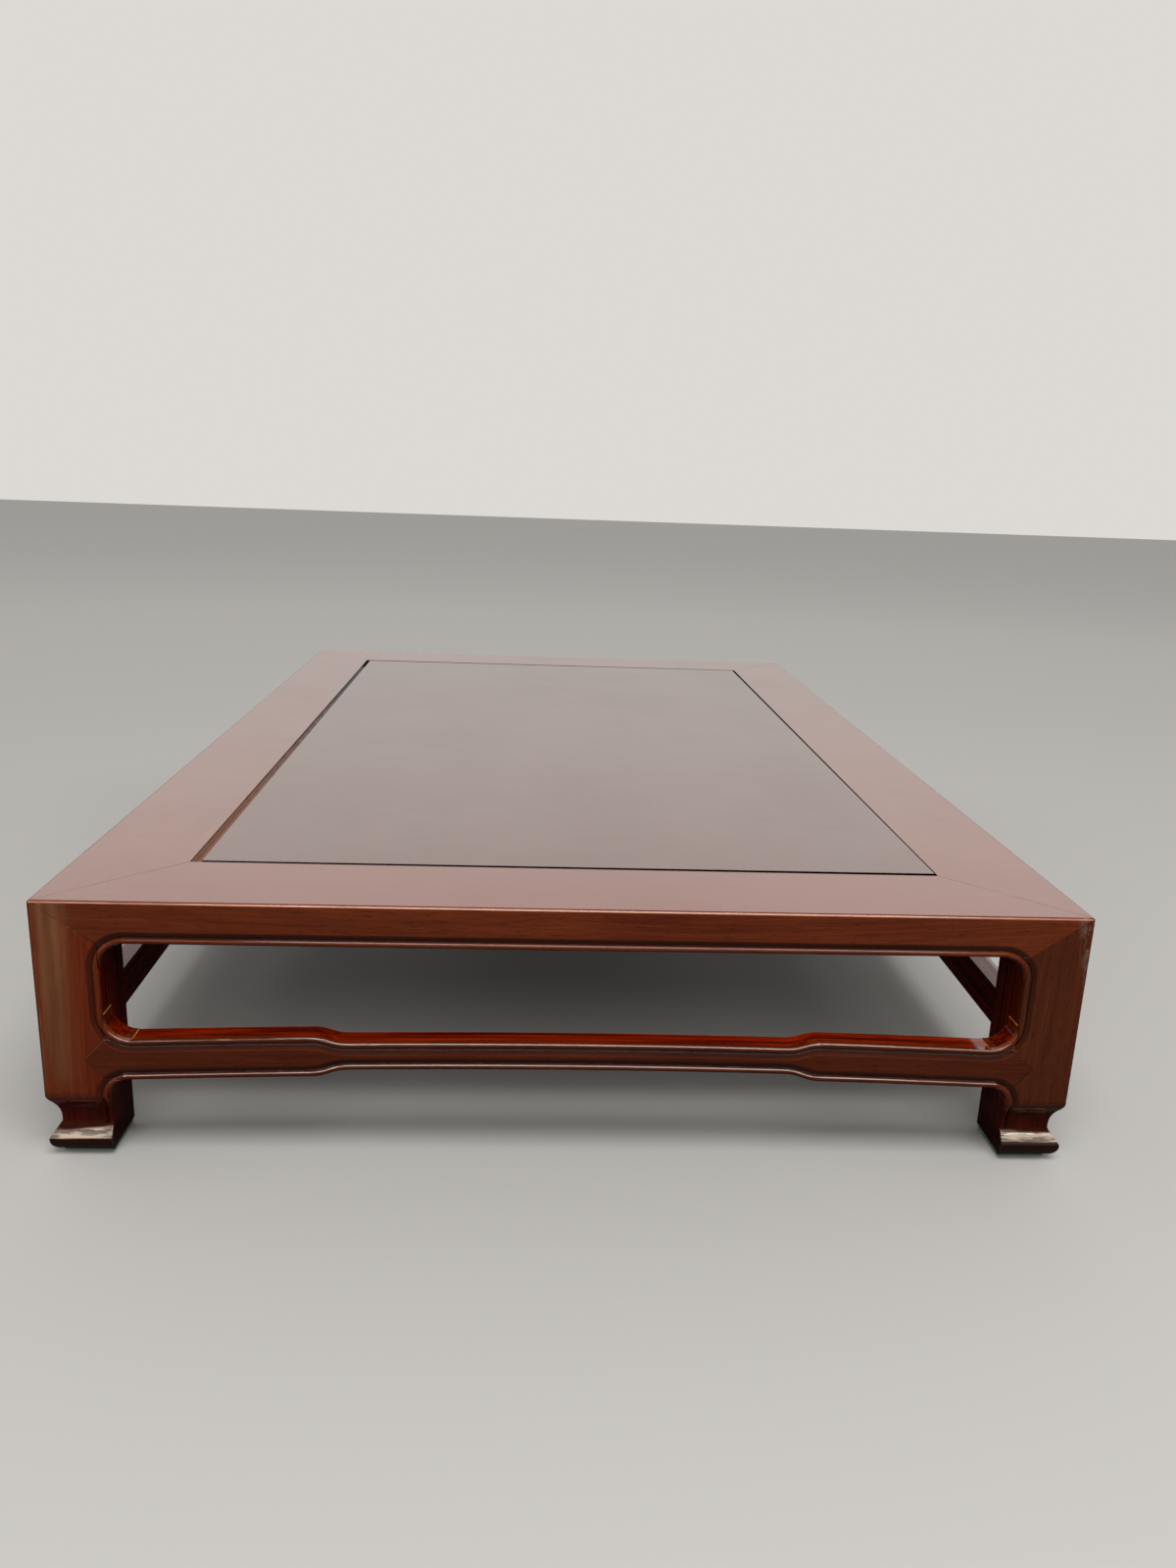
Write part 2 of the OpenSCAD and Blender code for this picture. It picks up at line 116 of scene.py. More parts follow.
def add(tree, kind, inputs=None, **props):
    """A new node with its properties and its inputs, each a value or a socket"""
    made = tree.nodes.new(kind)
    for key, value in props.items():
        setattr(made, key, value)
    fill(tree, made.inputs, inputs or {})
    return made


def calc(tree, op, *args, clamp=False):
    """The result of a Math node"""
    made = add(tree, "ShaderNodeMath", operation=op, use_clamp=clamp)
    fill(tree, made.inputs, dict(enumerate(args)))
    return made.outputs[0]


def vector(tree, op, *args):
    """The result of a Vector Math node"""
    made = add(tree, "ShaderNodeVectorMath", operation=op)
    fill(tree, made.inputs, dict(enumerate(args)))
    return made.outputs["Value" if op == "LENGTH" else "Vector"]


def product(tree, first, *others):
    """Values multiplied in turn"""
    for other in others:
        first = calc(tree, "MULTIPLY", first, other)
    return first


def split(tree, value):
    """The X, Y and Z of a vector"""
    return add(tree, "ShaderNodeSeparateXYZ", {"Vector": value}).outputs


def join(tree, x, y, z):
    """The vector of an X, Y and Z"""
    return add(tree, "ShaderNodeCombineXYZ", {"X": x, "Y": y, "Z": z}).outputs["Vector"]


def fade(tree, value, low, high, to_low=0.0, to_high=1.0):
    """Smooth change from to_low at low to to_high at high"""
    return add(tree, "ShaderNodeMapRange", {
        "Value": value, "From Min": low, "From Max": high, "To Min": to_low, "To Max": to_high,
    }, interpolation_type="SMOOTHSTEP", clamp=True).outputs["Result"]


def wane(tree, value, low, high):
    """One up to low, and nought from high on"""
    return fade(tree, value, low, high, 1.0, 0.0)


def between(tree, value, start, low, high, end):
    """Nought up to start, one from low to high, and nought from end on"""
    return product(tree, fade(tree, value, start, low), wane(tree, value, high, end))


def speckle(tree, place, scale, detail=2.0, rough=0.5, output="Fac"):
    """Noise in so many waves to the metre, one number or one for each axis"""
    if not isinstance(scale, tuple):
        scale = (scale, scale, scale)
    return add(tree, "ShaderNodeTexNoise", {
        "Vector": vector(tree, "MULTIPLY", place, scale),
        "Scale": 1.0, "Detail": detail, "Roughness": rough,
    }).outputs[output]


def blend(tree, share, first, second, kind="MIX"):
    """A share of the second colour in the first, each a socket or red, green and blue"""
    made = add(tree, "ShaderNodeMix", data_type="RGBA", blend_type=kind)
    first, second = ((*c, 1) if isinstance(c, tuple) else c for c in (first, second))
    fill(tree, {socket.identifier: socket for socket in made.inputs},
         {"Factor_Float": share, "A_Color": first, "B_Color": second})
    return next(s for s in made.outputs if s.identifier == "Result_Color")


def shaded(tree, colour, value, shares=(1.0, 1.0, 1.0)):
    """A colour whose red, green and blue are multiplied by their shares of a value"""
    tint = add(tree, "ShaderNodeCombineColor", {
        name: calc(tree, "MULTIPLY", value, share)
        for name, share in zip(("Red", "Green", "Blue"), shares)}).outputs["Color"]
    return blend(tree, 1.0, colour, tint, "MULTIPLY")


def bump(tree, height, strength, distance, normal=None):
    """The normal that a height tilts"""
    inputs = {"Strength": strength, "Distance": distance, "Height": height}
    if normal:
        inputs["Normal"] = normal
    return add(tree, "ShaderNodeBump", inputs).outputs["Normal"]


def new_group(name, ins, outs):
    """A node group with its inner sockets"""
    group = bpy.data.node_groups.new(name, "ShaderNodeTree")
    for way, sockets in (("INPUT", ins), ("OUTPUT", outs)):
        for label, kind in sockets:
            group.interface.new_socket(name=label, in_out=way, socket_type=kind)
    source = group.nodes.new("NodeGroupInput").outputs
    drain = group.nodes.new("NodeGroupOutput").inputs
    return group, source, drain


def use_group(tree, group, inputs):
    """A group's outputs in another tree"""
    return add(tree, "ShaderNodeGroup", inputs, node_tree=group).outputs


def new_finish(name):
    """A new material: itself, its tree, its shader's inputs and its coordinates"""
    made = bpy.data.materials.new(name)
    made.use_nodes = True
    tree = made.node_tree
    shader = tree.nodes["Principled BSDF"].inputs
    return made, tree, shader, add(tree, "ShaderNodeTexCoord").outputs


# What the wood's finishes share
def behind_faces(tree, place):
    """How far a place lies in from the long sides' outer faces, and from the short sides'"""
    folded = split(tree, vector(tree, "ABSOLUTE", place))
    return (calc(tree, "SUBTRACT", HALF_W, folded["X"]),
            calc(tree, "SUBTRACT", HALF_L, folded["Y"]))


def pore_marks(tree, turned):
    """Open pores a few millimetres long, at a place turned so that its X follows the grain"""
    return fade(tree, speckle(tree, turned, (170.0, 2900.0, 2900.0), 1.0), 0.6, 0.7)


def grain_group():
    """Rosewood whose grain runs along the X of the place it is given"""
    g, ins, out = new_group(
        "rosewood", [("Place", VEC)], [("Colour", COL), ("Relief", NUM), ("Pores", NUM)])
    place = ins["Place"]
    drift_width = 30 * MM
    drift = vector(g, "SUBTRACT",
                   speckle(g, place, (3.0, 9.0, 9.0), output="Color"), (0.5, 0.5, 0.5))
    bent = vector(g, "ADD", place, vector(g, "MULTIPLY", drift, (drift_width,) * 3))
    part = split(g, bent)
    # Growth layers about a pith that lies off to one side and leans a little
    lean, pith_y, pith_z = 0.05, 31 * MM, 135 * MM
    across = join(g, calc(g, "MULTIPLY", part["X"], lean),
                  calc(g, "ADD", part["Y"], pith_y), calc(g, "ADD", part["Z"], pith_z))
    layers = join(g, vector(g, "LENGTH", across), part["X"], part["Y"])
    bands = fade(g, speckle(g, layers, (260.0, 1.6, 4.0), 3.0, 0.55), 0.46, 0.7)
    streaks = fade(g, speckle(g, bent, (7.0, 420.0, 420.0), 3.0, 0.62), 0.32, 0.7)
    clouds = fade(g, speckle(g, place, (9.0, 26.0, 26.0)), 0.3, 0.7, 0.0, 0.45)
    fibres = speckle(g, bent, (26.0, 1500.0, 1500.0), 2.0, 0.6)
    pores = pore_marks(g, bent)
    tone = blend(g, streaks, WOOD_DARK, WOOD_LIGHT)
    tone = blend(g, calc(g, "MULTIPLY", bands, 0.26), tone, GROWTH_LINE)
    tone = blend(g, clouds, tone, CLOUD)
    tone = shaded(g, tone, fade(g, fibres, 0.25, 0.75, 0.82, 1.18))
    tone = blend(g, calc(g, "MULTIPLY", pores, 0.5), tone, PORE)
    relief = calc(g, "SUBTRACT", calc(g, "MULTIPLY", fibres, 0.4), pores)
    fill(g, out, {"Colour": tone, "Relief": relief, "Pores": pores})
    return g


def joint_group():
    """Thin lines where one piece meets the next, for all four corners at once"""
    g, ins, out = new_group("joint_lines", [("Place", VEC)], [("Line", NUM), ("Chip", NUM)])
    place = ins["Place"]
    in_x, in_y = behind_faces(g, place)
    at = split(g, place)
    z = at["Z"]
    width, skin, overlap, mitre_low = 0.11 * MM, 1.6 * MM, 4 * MM, 88 * MM

    def line(distance, *limits):
        """A line where a distance is nought and each value lies between its two limits"""
        drawn = wane(g, calc(g, "ABSOLUTE", distance), width, width * 2.2)
        for value, low, high in limits:
            drawn = product(g, drawn, calc(g, "GREATER_THAN", value, low),
                            calc(g, "LESS_THAN", value, high))
        return drawn

    # The mitres of the top show half as much as the other joints
    across = calc(g, "MULTIPLY", calc(g, "SUBTRACT", in_x, in_y), math.sqrt(0.5))
    total = calc(g, "MULTIPLY", 0.5, line(across, (z, TOP - skin, FAR), (in_x, -FAR, RAIL_W)))
    off_middle = calc(g, "ABSOLUTE", calc(g, "SUBTRACT", z, STRETCHER_MID))
    half_height = STRETCHER_TOP - STRETCHER_MID
    for run, depth, leg in ((in_x, in_y, LEG_W), (in_y, in_x, LEG_D)):
        near = (depth, -FAR, skin)
        head = calc(g, "MULTIPLY_ADD", run, RAIL_T / leg, calc(g, "SUBTRACT", z, TOP))
        point = calc(g, "MULTIPLY_ADD", off_middle, POINT_L / half_height, leg - POINT_L)
        block = calc(g, "SUBTRACT", run, leg)
        for drawn in (
            line(head, near, (run, -FAR, leg + overlap), (z, mitre_low, TOP)),
            line(calc(g, "SUBTRACT", run, point), near, (off_middle, -FAR, half_height)),
            *(line(block, (depth, -FAR, BLOCK_T), (z, low, high)) for low, high in (
                (STRETCHER_LOW - LOW_CORNER_R, STRETCHER_LOW),
                (STRETCHER_TOP, STRETCHER_TOP + CORNER_R),
                (RAIL_LOW - CORNER_R, RAIL_LOW),
            )),
        ):
            total = calc(g, "MAXIMUM", total, drawn)
    patchy = fade(g, speckle(g, place, 90.0), 0.35, 0.62, 0.25, 1.0)
    # The upper side of the front stretcher's left shoulder is chipped down to lighter wood
    chip = product(
        g, calc(g, "LESS_THAN", at["X"], 0.0), calc(g, "LESS_THAN", at["Y"], 0.0),
        between(g, z, 40 * MM, 42 * MM, 50 * MM, 51 * MM),
        fade(g, speckle(g, place, 500.0), 0.36, 0.5))
    fill(g, out, {"Line": calc(g, "MULTIPLY", total, patchy), "Chip": chip})
    return g


def toe_masks(g, place, upwards):
    """The slopes on top of the toes, painted lighter, and the painted highlight bands along them"""
    at = split(g, place)
    z = at["Z"]
    slope = calc(g, "MULTIPLY", fade(g, upwards, 0.05, 0.3), wane(g, z, 13 * MM, 15 * MM))
    # A painted highlight band sits higher on the right feet; its upper edge wanders more than its
    # lower
    wave = speckle(g, place, 60.0)
    lift = calc(g, "MULTIPLY", calc(g, "GREATER_THAN", at["X"], 0.0), 0.9 * MM)
    height = calc(g, "SUBTRACT", z, lift)
    lower = calc(g, "MULTIPLY_ADD", wave, 0.9 * MM, height)
    upper = calc(g, "MULTIPLY_ADD", wave, 3 * MM, height)
    band = product(g, slope, product(
        g, fade(g, lower, 8.3 * MM, 8.7 * MM), wane(g, upper, 12.2 * MM, 13.4 * MM)))
    glint_breaks = fade(g, speckle(g, place, (75.0, 75.0, 520.0), 3.0, 0.55), 0.42, 0.56, 0.12, 1.0)
    return {"Toe": slope, "Wax": calc(g, "MULTIPLY", band, glint_breaks),
            "Dull": calc(g, "SUBTRACT", slope, band)}


def gap_shade_masks(g, place, upwards, depth):
    """Painted shade in the gap round the panel, and painted lit bare wood in it on the left"""
    at = split(g, place)
    z = at["Z"]
    sunk = calc(g, "MAXIMUM", wane(g, upwards, 0.4, 0.7), wane(g, z, TOP - 1 * MM, TOP - 0.6 * MM))
    sunk = product(
        g, sunk, calc(g, "GREATER_THAN", z, TOP - 8 * MM),
        calc(g, "GREATER_THAN", calc(g, "SUBTRACT", depth, RAIL_W), -0.6 * MM),
        fade(g, z, TOP - 0.1 * MM, TOP, 1.0, 0.4))
    # More of the painted lit wood shows towards the front
    more = fade(g, at["Y"], -0.24, 0.05, 0.16, 0.0)
    bits = calc(g, "ADD", speckle(g, place, (300.0, 42.0, 300.0), 4.0, 0.65), more)
    bits = product(
        g, fade(g, bits, 0.45, 0.58), calc(g, "LESS_THAN", at["X"], RAIL_W + 3 * MM - HALF_W),
        fade(g, at["Y"], 0.0, 0.16, 1.0, 0.2))
    return {"Gap": sunk, "Lit": bits}


def rim_highlight_mask(g, place, depth):
    """A painted highlight along the top arris, as a thin pale line broken up by noise"""
    drop = calc(g, "SUBTRACT", TOP, split(g, place)["Z"])
    return product(
        g, between(g, drop, 0.16 * MM, 0.3 * MM, 0.6 * MM, 0.85 * MM),
        wane(g, depth, 0.3 * MM, 0.5 * MM),
        fade(g, speckle(g, place, 25.0, 4.0, 0.7), 0.3, 0.6, 0.45, 1.0))


def painted_sheen_mask(g, place, backwards):
    """Painted reflection as a pale streak down the front left leg, and a painted arris highlight"""
    at = split(g, place)
    z = at["Z"]
    wander = speckle(g, place, (90.0, 90.0, 30.0), 3.0, 0.6)
    edge = calc(g, "ADD", at["X"], HALF_W)
    off = calc(g, "MULTIPLY_ADD", wander, 5 * MM, edge)
    streak = product(g, between(g, off, 3 * MM, 8 * MM, 8.5 * MM, 20 * MM),
                     fade(g, z, 40 * MM, 98 * MM, 0.5, 0.95))
    beside = calc(g, "ABSOLUTE", calc(g, "SUBTRACT", edge, 1.5 * MM))
    line = product(g, fade(g, beside, 0.1 * MM, 0.35 * MM, 0.7, 0.0),
                   fade(g, wander, 0.35, 0.6, 0.3, 1.0))
    return product(
        g, calc(g, "MAXIMUM", streak, line), wane(g, backwards, -0.95, -0.8),
        wane(g, at["Y"], 2 * MM - HALF_L, 4 * MM - HALF_L), fade(g, z, 24 * MM, 40 * MM))


def region_group():
    """Where the finish differs from the plain lacquer of the faces

    Inside is within the openings, Bevel on the moulding's bevels, which are painted darker as
    shade, the foot and tip masks at a leg's lower end, painted darker as shade, and Toe on a toe's
    slope, painted lighter, with its painted highlight band and its Dull part. The pale mask is a
    painted reflection with a painted highlight line on the front left leg. The gap mask is painted
    shade round the panel, with painted lit bare wood where it is Lit, Top on the upper faces, and
    the rim mask a painted highlight along their arris.
    """
    g, ins, out = new_group("regions", [("Place", VEC), ("Facing", VEC)], [
        (name, NUM) for name in ("Inside", "Pale", "Bevel", "Foot", "Tip", "Toe",
                                 "Wax", "Dull", "Gap", "Lit", "Top", "Rim")])
    place = ins["Place"]
    z = split(g, place)["Z"]
    faces = split(g, ins["Facing"])
    depth = calc(g, "MINIMUM", *behind_faces(g, place))
    inside = product(g, fade(g, depth, 1.9 * MM, 2.6 * MM),
                     wane(g, z, RAIL_LOW + 0.2 * MM, RAIL_LOW + 1.2 * MM))
    # The bevel leans 24 degrees out of its face; the bevels are painted darker as shade
    lean = calc(g, "MAXIMUM", *(calc(g, "ABSOLUTE", faces[axis]) for axis in "XY"))
    bevel = product(g, between(g, lean, 0.885, 0.905, 0.925, 0.945),
                    fade(g, depth, 0.15 * MM, 0.35 * MM))
    fill(g, out, {
        "Inside": inside,
        "Bevel": bevel,
        # Painted shade, darker towards the bottom of the legs and darker still at the toe tips
        "Foot": wane(g, z, 20 * MM, 25 * MM),
        "Tip": wane(g, z, 9 * MM, 14 * MM),
        "Top": product(g, fade(g, faces["Z"], 0.8, 0.98),
                       calc(g, "GREATER_THAN", z, TOP - 1 * MM)),
        "Rim": rim_highlight_mask(g, place, depth),
        "Pale": painted_sheen_mask(g, place, faces["Y"]),
        **toe_masks(g, place, faces["Z"]),
        **gap_shade_masks(g, place, faces["Z"], depth),
    })
    return g


def haze_group():
    """Patches that handling and dusting have dulled"""
    g, ins, out = new_group("haze", [("Place", VEC)], [("Haze", NUM)])
    patch = speckle(g, ins["Place"], (14.0, 11.0, 14.0), 4.0, 0.6)
    rub = speckle(g, ins["Place"], (60.0, 260.0, 120.0), 3.0, 0.7)
    fill(g, out, {"Haze": calc(g, "MULTIPLY", patch, calc(g, "ADD", rub, 0.5))})
    return g


def wear_and_shade_group():
    """Rubbed arrises, a bruised corner and painted shade in the quirks and hollows"""
    g, ins, out = new_group("wear", [("Place", VEC), ("Facing", VEC)],
                            [("Rubbed", NUM), ("Bruised", NUM), ("Dirt", NUM)])
    place = ins["Place"]
    at = split(g, place)
    quirk, arris = 2.6 * MM, 0.9 * MM
    hollow = add(g, "ShaderNodeAmbientOcclusion", {"Distance": quirk}, samples=6)
    crest = add(g, "ShaderNodeAmbientOcclusion", {"Distance": arris},
                samples=6, inside=True, only_local=True)
    edge = wane(g, crest.outputs["AO"], 0.3, 0.75)
    broken = speckle(g, place, (560.0, 560.0, 200.0), 4.0, 0.72)
    # The bruises narrow down the front right leg, and few are on its top
    beside = calc(g, "MAXIMUM", calc(g, "SUBTRACT", HALF_W, at["X"]),
                  calc(g, "ADD", HALF_L, at["Y"]))
    fallen = calc(g, "MULTIPLY", calc(g, "SUBTRACT", TOP, at["Z"]), 0.2)
    bruised = product(
        g, wane(g, calc(g, "ADD", beside, fallen), 3 * MM, 8.5 * MM),
        fade(g, broken, 0.49, 0.56),
        fade(g, split(g, ins["Facing"])["Z"], 0.9, 0.99, 1.0, 0.1))
    fill(g, out, {
        "Rubbed": calc(g, "MULTIPLY", edge, fade(g, broken, 0.4, 0.66)),
        "Bruised": bruised,
        # Painted shade where the hollows' occlusion is strong
        "Dirt": wane(g, hollow.outputs["AO"], 0.3, 0.92),
    })
    return g


GRAIN, JOINTS, HAZE, WEAR_AND_SHADE = grain_group(), joint_group(), haze_group(), wear_and_shade_group()
REGIONS = region_group()
ALONG = {"x": "XYZ", "y": "YXZ", "z": "ZXY"}  # The axes in turn, with the grain's first


# The finishes
def skin_height(tree, place, turned, upwards):
    """The lacquer's skin: slow waves, orange peel, sunken pores, and sags at the toes"""
    height = calc(tree, "MULTIPLY", speckle(tree, place, 38.0, 1.0, 0.4), 3.0)
    height = calc(tree, "MULTIPLY_ADD", speckle(tree, place, 700.0, 1.0), 0.03, height)
    sunken = calc(tree, "MULTIPLY", pore_marks(tree, turned),
                  fade(tree, upwards, 0.8, 0.98, 0.06, 0.01))
    height = calc(tree, "SUBTRACT", height, sunken)
    sags = speckle(tree, place, (70.0, 150.0, 330.0), 1.0, 0.4)
    low = fade(tree, split(tree, place)["Z"], 11 * MM, 12 * MM, 8.0, 0.0)
    return calc(tree, "MULTIPLY_ADD", sags, low, height)


def wood(name, grain, gloss=0.05, outside=1.0, inside=0.7, brown=(1.0, 1.0, 1.0)):
    """Lacquered rosewood with its grain along an axis

    gloss is the coat's roughness. outside and inside are the wood's brightness on the faces and
    inside the openings, where inside paints light on the stretchers and shade on the others, and
    brown gives the shares of its red, green and blue.
    """
    made, tree, shader, coords = new_finish(name)
    place, facing = coords["Object"], coords["Normal"]
    at = split(tree, place)
    turned = join(tree, *(at[axis] for axis in ALONG[grain]))
    figure = use_group(tree, GRAIN, {"Place": turned})
    lines = use_group(tree, JOINTS, {"Place": place})
    haze = use_group(tree, HAZE, {"Place": place})["Haze"]
    worn_and_shaded = use_group(tree, WEAR_AND_SHADE, {"Place": place, "Facing": facing})
    zone = use_group(tree, REGIONS, {"Place": place, "Facing": facing})

    # Inside the openings the figure is strong and red, painted lighter on the stretchers
    # and painted darker as shade on the other pieces
    colour = shaded(
        tree, figure["Colour"], fade(tree, zone["Inside"], 0.0, 1.0, outside, inside), brown)
    stripes = fade(tree, speckle(tree, turned, (6.0, 620.0, 620.0), 3.0, 0.6),
                   0.34, 0.66, 0.32, 1.5)
    colour = blend(tree, zone["Inside"], colour,
                   shaded(tree, colour, stripes, (1.0, 0.36, 0.16)))
    streaky = fade(tree, speckle(tree, place, (260.0, 260.0, 14.0), 3.0), 0.3, 0.7)
    for mask, share, tint in (
        (zone["Top"], 0.75, tuple(outside * c for c in CALM_TOP)),
        # Painted reflection and painted highlight line on the front left leg
        (zone["Pale"], 0.72, blend(tree, streaky, SHEEN_DARK, SHEEN_LIGHT)),
        # Painted shade on the bevels
        (zone["Bevel"], 0.6, BEVEL_SHADE),
        # Painted shade on the legs' lower ends and the toe tips
        (zone["Foot"], 0.65, FOOT_SHADE),
        (zone["Tip"], 0.65, TOE_TIP_SHADE),
        # Painted light on the toes' slopes and a painted highlight band
        (zone["Toe"], 0.5, TOE_SLOPE_LIT),
        (zone["Wax"], 0.8, TOE_GLINT),
        # Painted shade in the hollows
        (worn_and_shaded["Dirt"], 0.85, HOLLOW_SHADE),
        (worn_and_shaded["Rubbed"], 0.4, RUBBED),
        (worn_and_shaded["Bruised"], 0.45, BRUISED),
        # Painted highlight on the top arris
        (zone["Rim"], 0.85, RIM_HIGHLIGHT),
        (lines["Line"], 0.8, blend(tree, lines["Chip"], JOINT_DARK, CHIPPED)),
        # Painted shade in the gap, with painted lit bare wood
        (zone["Gap"], 1.0, blend(tree, zone["Lit"], GAP_SHADE, LIT_GAP_WOOD)),
    ):
        colour = blend(tree, calc(tree, "MULTIPLY", mask, share), colour, tint)

    dulled = fade(tree, haze, 0.3, 0.75, 0.0, 0.05)
    for mask, share in ((lines["Line"], 1.0), (worn_and_shaded["Bruised"], 0.85),
                        (zone["Inside"], 0.5), (zone["Dull"], 0.8)):
        dulled = calc(tree, "MULTIPLY_ADD", mask, share, dulled)
    sunk = calc(tree, "SUBTRACT", figure["Relief"], calc(tree, "MULTIPLY", lines["Line"], 2.0))
    sunk = calc(tree, "SUBTRACT", sunk, worn_and_shaded["Bruised"])
    softened, relief = 0.3 * MM, 0.05 * MM
    soft = add(tree, "ShaderNodeBevel", {"Radius": softened}, samples=4).outputs["Normal"]
    skin = skin_height(tree, place, turned, split(tree, facing)["Z"])
    fill(tree, shader, {
        "Base Color": colour,
        "Roughness": fade(tree, figure["Pores"], 0.0, 1.0, 0.36, 0.6),
        "Specular IOR Level": 0.0,
        "Normal": bump(tree, sunk, 0.5, relief, soft),
        "Coat Weight": calc(tree, "SUBTRACT", 1.0, dulled, clamp=True),
        "Coat Roughness": gloss,
        "Coat IOR": 1.45,
        "Coat Tint": (1.0, 0.9, 0.8, 1.0),
        "Coat Normal": bump(tree, skin, 0.6, relief, soft),
    })
    return made


def glue():
    """Dried glue, amber and half clear"""
    made, tree, shader, coords = new_finish("dried_glue")
    lumps = speckle(tree, coords["Object"], 900.0, 3.0)
    fill(tree, shader, {
        "Base Color": blend(tree, fade(tree, lumps, 0.3, 0.7), GLUE_DARK, GLUE_LIGHT),
        "Roughness": fade(tree, lumps, 0.3, 0.7, 0.25, 0.45),
        "Normal": bump(tree, lumps, 0.7, 0.1 * MM),
    })
    return made


def felt():
    """Green wool felt: matted fibres, a soft sheen and crushed darker patches"""
    made, tree, shader, coords = new_finish("green_felt")
    place = coords["Object"]
    swirl = vector(tree, "ADD", place, vector(
        tree, "MULTIPLY", speckle(tree, place, 500.0, 1.0, output="Color"), (2 * MM,) * 3))
    mat = speckle(tree, swirl, (2600.0, 900.0, 2600.0), 3.0, 0.7)
    crushed = fade(tree, speckle(tree, place, 120.0, 3.0), 0.4, 0.7, 0.0, 0.45)
    colour = blend(tree, fade(tree, mat, 0.3, 0.7), FELT_DARK, FELT_LIGHT)
    fill(tree, shader, {
        "Base Color": blend(tree, crushed, colour, FELT_CRUSHED),
        "Roughness": 0.95,
        "Specular IOR Level": 0.15,
        "Sheen Weight": 0.6,
        "Sheen Roughness": 0.5,
        "Sheen Tint": (0.55, 0.85, 0.65, 1.0),
        "Normal": bump(tree, mat, 0.9, 0.25 * MM),
    })
    return made


UPRIGHT = wood("rosewood_upright", "z")
CROSSWISE = wood("rosewood_crosswise", "x", brown=(1.0, 1.2, 1.45))
LENGTHWISE = wood("rosewood_lengthwise", "y")
PANEL = wood("rosewood_panel", "y", outside=0.5)
# The stretchers are painted lighter inside the openings
STRETCHER_X = wood(
    "rosewood_stretcher_crosswise", "x", outside=0.62, inside=1.15, brown=(1.0, 1.15, 1.3))
STRETCHER_Y = wood("rosewood_stretcher_lengthwise", "y", outside=0.6, inside=1.1)
UPRIGHT_DARK = wood("rosewood_upright_dark", "z", outside=0.64, brown=(0.95, 1.35, 1.7))
INNER = wood("rosewood_inner", "x", gloss=0.2, outside=0.85)
GLUE, FELT = glue(), felt()


def finish_of(name):
    """The rosewood that a piece of the table is made of"""
    if name == "leg_front_right":
        return UPRIGHT_DARK
    if name.startswith(("leg_", "block_")):
        return UPRIGHT
    if name == "panel":
        return PANEL
    if name.startswith("batten_"):
        return INNER
    if name.startswith("stretcher_"):
        return STRETCHER_X if name.endswith(SHORT) else STRETCHER_Y
    return CROSSWISE if name.endswith(SHORT) else LENGTHWISE


for name, piece in nodes.items():
    if name.startswith("felt_"):
        continue
    for slot in piece.material_slots:
        slot.material = finish_of(name)
    if not piece.material_slots:
        piece.data.materials.append(finish_of(name))


# New pieces
def on_side(side, along, height, depth):
    """A point on one side: along it, above the floor, and behind its outer face"""
    out = depth - (HALF_L if side in SHORT else HALF_W)
    if side in ("back", "right"):
        out = -out
    return Vector((along, out, height) if side in SHORT else (out, along, height))


def half_opening(side):
    """From the middle of a side to its legs"""
    return HALF_W - LEG_W if side in SHORT else HALF_L - LEG_D


def new_piece(name, bm, finish):
    """A piece of the table from its mesh, with its faces outwards"""
    bm.normal_update()
    bmesh.ops.recalc_face_normals(bm, faces=bm.faces)
    mesh = bpy.data.meshes.new(name)
    bm.to_mesh(mesh)
    bm.free()
    piece = bpy.data.objects.new(name, mesh)
    scene.collection.objects.link(piece)
    mesh.materials.append(finish)
    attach(piece, "root")
    return piece


# The real stretchers are a little arched. The rise is nought at the corner blocks.
CAMBER, SLICE = 3.2 * MM, 6 * MM


def arched_stretcher(side):
    """A stretcher's CAD mesh, cut into slices and lifted towards its middle"""
    node = nodes["stretcher_" + side]
    axis = 0 if side in SHORT else 1
    reach = half_opening(side) - CORNER_R
    bm = bmesh.new()
    bm.from_mesh(node.data)
    bmesh.ops.remove_doubles(bm, verts=bm.verts, dist=0.001 * MM)
    lengthways = Vector((1, 0, 0)) if axis == 0 else Vector((0, 1, 0))
    count = math.ceil(reach / SLICE)
    for k in range(-count, count + 1):
        bmesh.ops.bisect_plane(
            bm, geom=bm.verts[:] + bm.edges[:] + bm.faces[:], dist=1e-7,
            plane_co=lengthways * (reach * k / count), plane_no=lengthways)
    for v in bm.verts:
        share = abs(v.co[axis]) / reach
        if share < 1:
            v.co.z += CAMBER * (1 - share * share)
    made = new_piece("arched_stretcher_" + side, bm, finish_of(node.name))
    made.data.shade_smooth()
    made.data.set_sharp_from_angle(angle=math.radians(3))
    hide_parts(node.name)


LIP, SUNK = 0.3 * MM, 0.1 * MM  # A fillet of glue: its width, and how far the wood hides it
THIN, LUMPS = 0.16 * MM, 0.3 * MM  # Its least thickness, and the lumps on top of that
LIP_RIM, THIN_RIM, THIN_END = 0.7, 0.35, 0.3  # What is left of these at its rim and its ends
STARTS, STOPS = 1.8 * MM, BLOCK_T - 0.1 * MM  # Behind the outer face
FILLET_SLICES = 14
APART = 3.0  # Between the unit blocks that the fillets of one corner block are shaped from


